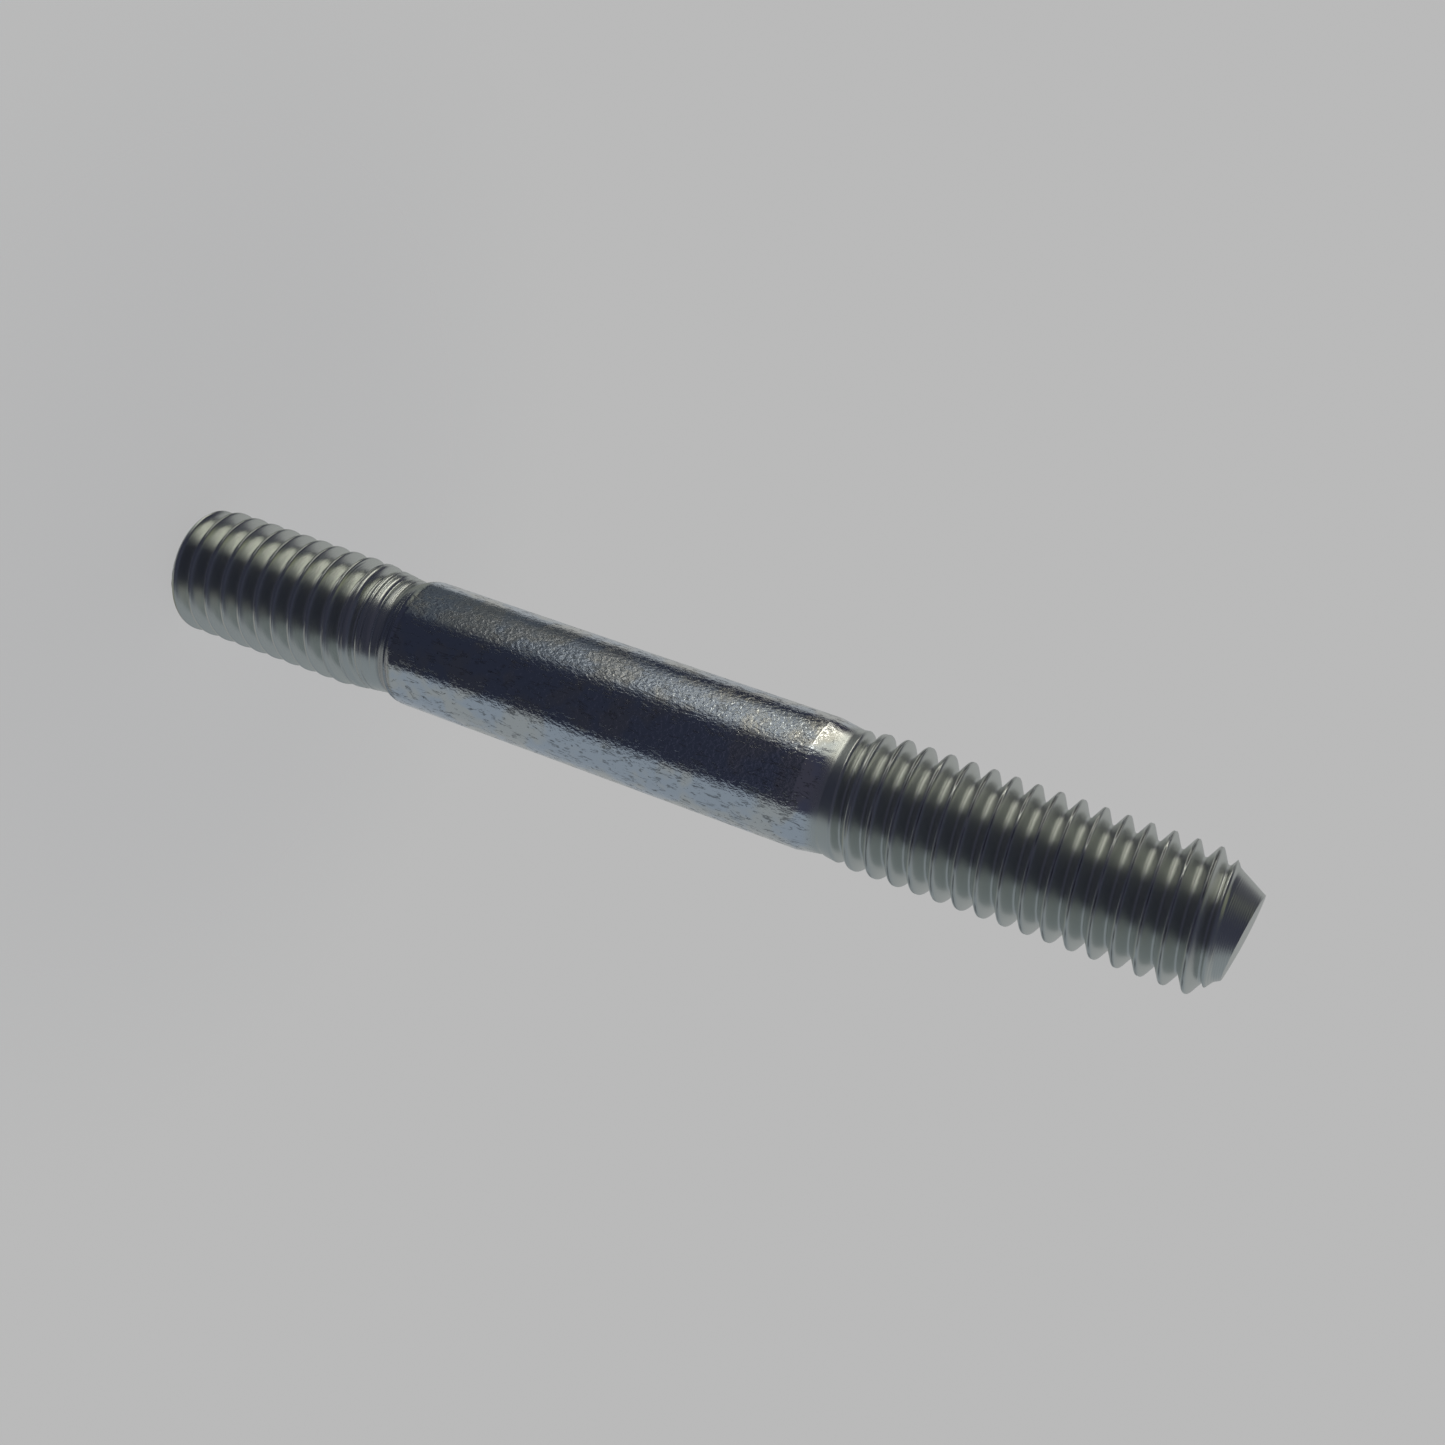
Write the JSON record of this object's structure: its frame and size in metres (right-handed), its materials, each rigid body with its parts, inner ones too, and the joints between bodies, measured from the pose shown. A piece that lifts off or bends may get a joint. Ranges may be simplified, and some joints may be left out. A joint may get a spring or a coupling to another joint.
{
  "type": "stud bolt",
  "caption": "Double-ended stud bolt: a plain round shank with a rolled right-hand thread at each end, one end for a tapped hole and the longer one for a nut.",
  "frame": {"origin": "centre of the flat face of the tap end, which the stud stands on", "axes": "+Z along the stud's axis from the tap end to the nut end; -Y is the side the picture shows"},
  "size_m": [0.0078, 0.0078, 0.0674],
  "materials": {
    "zinc_steel": "bright zinc plate, clear blue passivated, fine orange-peel grain"
  },
  "bodies": {
    "root": {"stud": "zinc_steel"}
  },
  "joints": []
}
